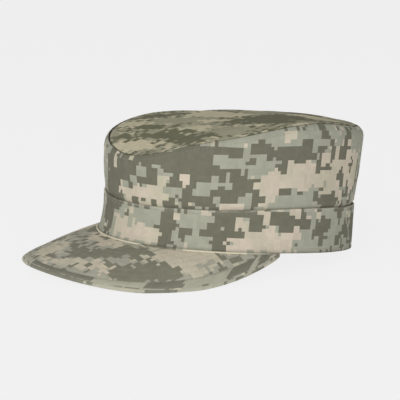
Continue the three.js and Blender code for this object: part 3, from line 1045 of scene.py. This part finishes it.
def makeBinding():
    thick = visor["rimThick"]
    up = Vector((0, 0, 1))
    noseSteps = 7
    shares = [share for share in visorShares if abs(share) < 0.985]
    sections = []
    for share in shares:
        wide = rimWide(share)
        wall = visorFrame(share)[5]
        edge = brim(share, 1, 0)
        root = brim(share, 0, 0)
        inward = root - edge
        inward.z = 0
        if inward.length > 1e-6:
            inward.normalize()
        onTop = []
        for away in (wide, wide - 0.35, wide * 0.75, wide * 0.5, wide * 0.25):
            onTop.append(ringPoint(share, away) or root.copy())
        outer = [point + up * lift for point, lift in zip(onTop, (0.05, thick * 0.9, thick, thick, thick))]
        nose = []
        half = wall / 2 + thick
        for step in range(noseSteps):
            turn = math.pi * (0.5 - step / (noseSteps - 1))
            height = -wall / 2 + half * math.sin(turn)
            nose.append(edge + up * height - inward * (half * 0.85 * math.cos(turn) - 0.9))
        back = []
        for part, lip in ((0.3, 1), (0.65, 1), (1.0, 0.1)):
            back.append(edge.lerp(onTop[0], part) - up * (wall + thick * lip))
        inner = [back[-1] + up * 0.25]
        inner += [edge - up * (wall * part) + inward * 0.6 for part in (0.6, 0.4)]
        inner.append(onTop[0] - up * 0.25)
        sections.append(outer + nose + back + inner + [outer[0]])
    rows = list(zip(*sections))
    lengths = [0.0]
    for one, two in zip(rows[5], rows[5][1:]):
        lengths.append(lengths[-1] + (two - one).length)
    middle = lengths[len(lengths) // 2]
    places = [[layDown(point) for point in row] for row in rows]
    across = [0.0]
    half = len(shares) // 2
    for one, two in zip(rows, rows[1:]):
        across.append(across[-1] + (two[half] - one[half]).length)
    flat = [[((length - middle) * mm, width * mm) for length in lengths] for width in across]
    wearAndPaintedLight = [0.2, 0.2, 0.1, 0.1, 0.2] + [0.3] * noseSteps
    wearAndPaintedLight += [0.1] * (len(rows) - len(wearAndPaintedLight))
    return closeEnds(bendGrid("visorBinding", places, flat, wearAndPaintedLight))


visorBinding = makeBinding()
dye(visorBinding, "bindingCamo", rimPatches, rimTones, 63.0)
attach(visorBinding, "root")
print("binding made")


# a narrow folded edge where the visor's upper cloth meets the band

piping = {"radius": 0.72, "out": 0.35, "down": 0.1, "reachAngle": 79, "columns": 200}
pipingPatches = (
    ("tan", -40, 0, 60, 9, 2.2), ("dark", 42, 0, 16, 9, 2), ("tan", 85, 0, 26, 9, 1.8),
    ("grey", 122, 0, 14, 9, 2),
)


def makePiping():
    limit = math.radians(piping["reachAngle"])
    angles = [limit * (2 * column / piping["columns"] - 1) for column in range(piping["columns"] + 1)]
    places = []
    flat = []
    for row in range(9):
        turn = 2 * math.pi * row / 8
        ring = []
        for angle in angles:
            taper = min(1, (1.02 - abs(angle) / limit) * 9)
            radius = piping["radius"] * taper
            flare = bandFlare(angle, 0)
            out = flare + piping["out"] + radius * math.cos(turn)
            height = rimHeight(angle) - band["flareDown"] * flare - piping["down"] + radius * math.sin(turn)
            ring.append(layDown(onOval(angle, out, height)))
        places.append(ring)
        flat.append([(lengthRound(angle, 60) * mm, turn * piping["radius"] * mm) for angle in angles])
    # the piping is marked pale all along: edge wear and a painted highlight on its lit fold
    return closeEnds(bendGrid("visorPiping", places, flat, [0.9] * 9))


visorPiping = makePiping()
dye(visorPiping, "pipingCamo", pipingPatches, pipingPaintedLightTones, 71.0)
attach(visorPiping, "root")


# thread: the length, width and height of a stitch, and from one to the next, in millimetres

thread = {
    "long": 2.0,
    "wide": 0.27,
    "high": 0.24,
    "pitch": 3.0,
    "lift": 0.03,
    "dark": (128, 126, 106),
    "light": (143, 140, 119),
}


def threadMaterial():
    material, shader = startMaterial("threadOlive")
    twist = cloudy(addNode("TexCoord").outputs["Object"], 900, 3, 0.6)
    tones = [fromScreen(*thread[key]) for key in ("dark", "light")]
    looks = {
        "Base Color": mixColour(between(twist, 0.3, 0.7), *tones),
        "Roughness": scaled(twist, 0.2, 0.6),
        "Normal": bumped(twist, 0.5, 0.0001),
        "Sheen Weight": 0.2,
    }
    plug(shader, looks)
    return material


threadFinish = threadMaterial()


def oneStitch():
    bpy.ops.object.select_all(action="DESELECT")
    bpy.ops.mesh.primitive_uv_sphere_add(segments=6, ring_count=5, radius=0.5)
    stitch = bpy.context.object
    stitch.name = "stitchPattern"
    bpy.ops.object.mode_set(mode="EDIT")
    bpy.ops.mesh.select_all(action="SELECT")
    bpy.ops.transform.rotate(value=math.pi / 2, orient_axis="Y", center_override=(0, 0, 0))
    bpy.ops.transform.resize(value=(thread["long"] * mm, thread["wide"] * mm, thread["high"] * mm))
    bpy.ops.object.mode_set(mode="OBJECT")
    bpy.ops.object.shade_smooth()
    return stitch


stitchPattern = oneStitch()


# stitches lie along a line of points, each with the direction that faces off the cloth
def sewAlong(name, line, facing, slotName):
    run = [0.0]
    for one, two in zip(line, line[1:]):
        run.append(run[-1] + (two - one).length)
    pitch = thread["pitch"] * mm
    count = int(run[-1] / pitch)
    copies = []
    spot = 0
    for index in range(count):
        distance = (index + 0.5) * run[-1] / count
        while run[spot + 1] < distance:
            spot += 1
        share = (distance - run[spot]) / max(run[spot + 1] - run[spot], 1e-9)
        place = line[spot].lerp(line[spot + 1], share)
        along = (line[spot + 1] - line[spot]).normalized()
        up = facing[spot].lerp(facing[spot + 1], share)
        up = (up - along * up.dot(along)).normalized()
        across = up.cross(along)
        turn = Matrix((along, across, up)).transposed().to_4x4()
        copy = stitchPattern.copy()
        copy.data = stitchPattern.data.copy()
        copy.data.transform(Matrix.Translation(place + up * thread["lift"] * mm) @ turn)
        bpy.context.collection.objects.link(copy)
        copies.append(copy)
    bpy.ops.object.select_all(action="DESELECT")
    for copy in copies:
        copy.select_set(True)
    bpy.context.view_layer.objects.active = copies[0]
    bpy.ops.object.join()
    seam = bpy.context.object
    seam.name = name
    seam.data.name = name
    seam.data.materials.clear()
    seam.data.materials.append(threadFinish)
    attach(seam, "root")
    return seam


# points all round the cap, each facing outward and tipped up by rise
def lineRound(place, rise, steps=720):
    angles = [math.pi * (2 * step / steps - 1) for step in range(steps + 1)]
    line = [layDown(place(angle)) for angle in angles]
    off = []
    for angle in angles:
        x, y = outward(angle)
        off.append(tipTurn @ Vector((x, y, rise)))
    return line, off


shoulderLine = lineRound(shoulderPoint(side["stitchShare"], 0), 0.35)
sideSeams = [sewAlong("crownSideStitches", *shoulderLine, "side_cloth")]
topSeam = sewAlong("crownTopStitches", *lineRound(topPoint(top["stitchShare"], 0), 8.0), "top_cloth")


# up is over the band's lower edge, or below its upper edge where it is negative
def upTheBand(up):
    def place(angle):
        share = up / (edgeHeight(angle) - rimHeight(angle))
        return bandFace(1 + share if up < 0 else share, 0)(angle)

    return place


bandSeams = [
    sewAlong("bandTopStitches", *lineRound(upTheBand(-band["topStitchDown"]), 0.0), "band_cloth"),
    sewAlong("bandHemStitches", *lineRound(upTheBand(band["hemUp"]), 0.0), "band_cloth"),
]
for label, sign in (("Right", -1), ("Left", 1)):
    angle = sign * (math.pi - backSeam["stitchAway"] / backSeam["radius"])
    upWall = [layDown(wallPoint(step / 30, 0)(angle)) for step in range(31)]
    upBand = [layDown(bandFace(0.04 + 0.92 * step / 20, 0)(angle)) for step in range(21)]
    facing = tipTurn @ Vector((*outward(angle), 0))
    sideSeams.append(sewAlong("backSeamSide" + label, upWall, [facing] * len(upWall), "side_cloth"))
    bandSeams.append(sewAlong("backSeamBand" + label, upBand, [facing] * len(upBand), "band_cloth"))
for row in range(int(visor["reach"] / visor["rowSpacing"])):
    line = []
    for share in visorShares:
        away = row * visor["rowSpacing"] if row else -visor["rimStitchIn"]
        point = ringPoint(share, rimWide(share) + away)
        if point is not None and (point - brim(share, 0, 0)).length > 1.2:
            line.append(layDown(point + Vector((0, 0, 0 if row else visor["rimThick"]))))
    if len(line) > 12:
        facing = [Vector((0, -0.3, 1))] * len(line)
        sewAlong(f"visorStitches{row}", line, facing, "visor_cloth")
bpy.data.objects.remove(stitchPattern, do_unlink=True)
print("seams sewn")
# studio

studio = {
    "azimuth": 55.0,
    "elevation": 12.65,
    "distance": 1.5,
    "lens": 174.4,
    "aimSide": 0.0019,
    "aimUp": 0.043,
    "paperGrey": 0.07,
    "paperGlow": 0.83,
    "air": 0.25,
}
# name, degrees round from the front and above the floor, distance and size in metres, power in watts
lamps = (
    ("keyLight", 42, 24, 2.2, 1.6, 30.5),
    ("fillLight", -15, 30, 2.4, 1.6, 7.0),
    ("topLight", 150, 72, 2.4, 1.8, 4.2),
)


def towards(aroundDeg, aboveDeg):
    around = math.radians(aroundDeg)
    above = math.radians(aboveDeg)
    level = math.cos(above)
    return Vector((math.sin(around) * level, -math.cos(around) * level, math.sin(above)))


def makeStudio():
    around = math.radians(studio["azimuth"])
    away = towards(studio["azimuth"], studio["elevation"])
    right = Vector((math.cos(around), math.sin(around), 0))
    up = away.cross(right)
    bpy.ops.object.camera_add(location=away * studio["distance"])
    camera = bpy.context.object
    camera.data.lens = studio["lens"]
    camera.data.sensor_width = 36
    target = right * studio["aimSide"] + up * studio["aimUp"]
    camera.rotation_euler = (target - camera.location).to_track_quat("-Z", "Y").to_euler()
    bpy.context.scene.camera = camera

    bpy.ops.mesh.primitive_plane_add(size=14, location=(0, 0, 0))
    floor = bpy.context.object
    floor.name = "paleFloor"
    paper, shader = startMaterial("palePaper")
    looks = {
        "Base Color": (*[studio["paperGrey"]] * 3, 1),
        "Roughness": 1.0,
        "Specular IOR Level": 0.0,
        "Emission Color": (1, 1, 1, 1),
        "Emission Strength": studio["paperGlow"],
    }
    plug(shader, looks)
    bpy.ops.mesh.primitive_cylinder_add(
        vertices=96, radius=6.5, depth=1.5, end_fill_type="NOTHING", location=(0, 0, 0.74)
    )
    wall = bpy.context.object
    wall.name = "paleWall"
    for piece in (floor, wall):
        piece.data.materials.append(paper)

    for name, aroundDeg, aboveDeg, distance, size, power in lamps:
        place = towards(aroundDeg, aboveDeg) * distance
        bpy.ops.object.light_add(type="AREA", location=place)
        lamp = bpy.context.object
        lamp.name = name
        lamp.data.energy = power
        lamp.data.size = size
        lamp.rotation_euler = (Vector((0, 0, 0.05)) - place).to_track_quat("-Z", "Y").to_euler()
    world = bpy.context.scene.world or bpy.data.worlds.new("studioAir")
    bpy.context.scene.world = world
    world.use_nodes = True
    sky = world.node_tree.nodes["Background"]
    sky.inputs[0].default_value = (1, 1, 1, 1)
    sky.inputs[1].default_value = studio["air"]
    bpy.context.scene.view_settings.view_transform = "Standard"


makeStudio()
print("studio ready")
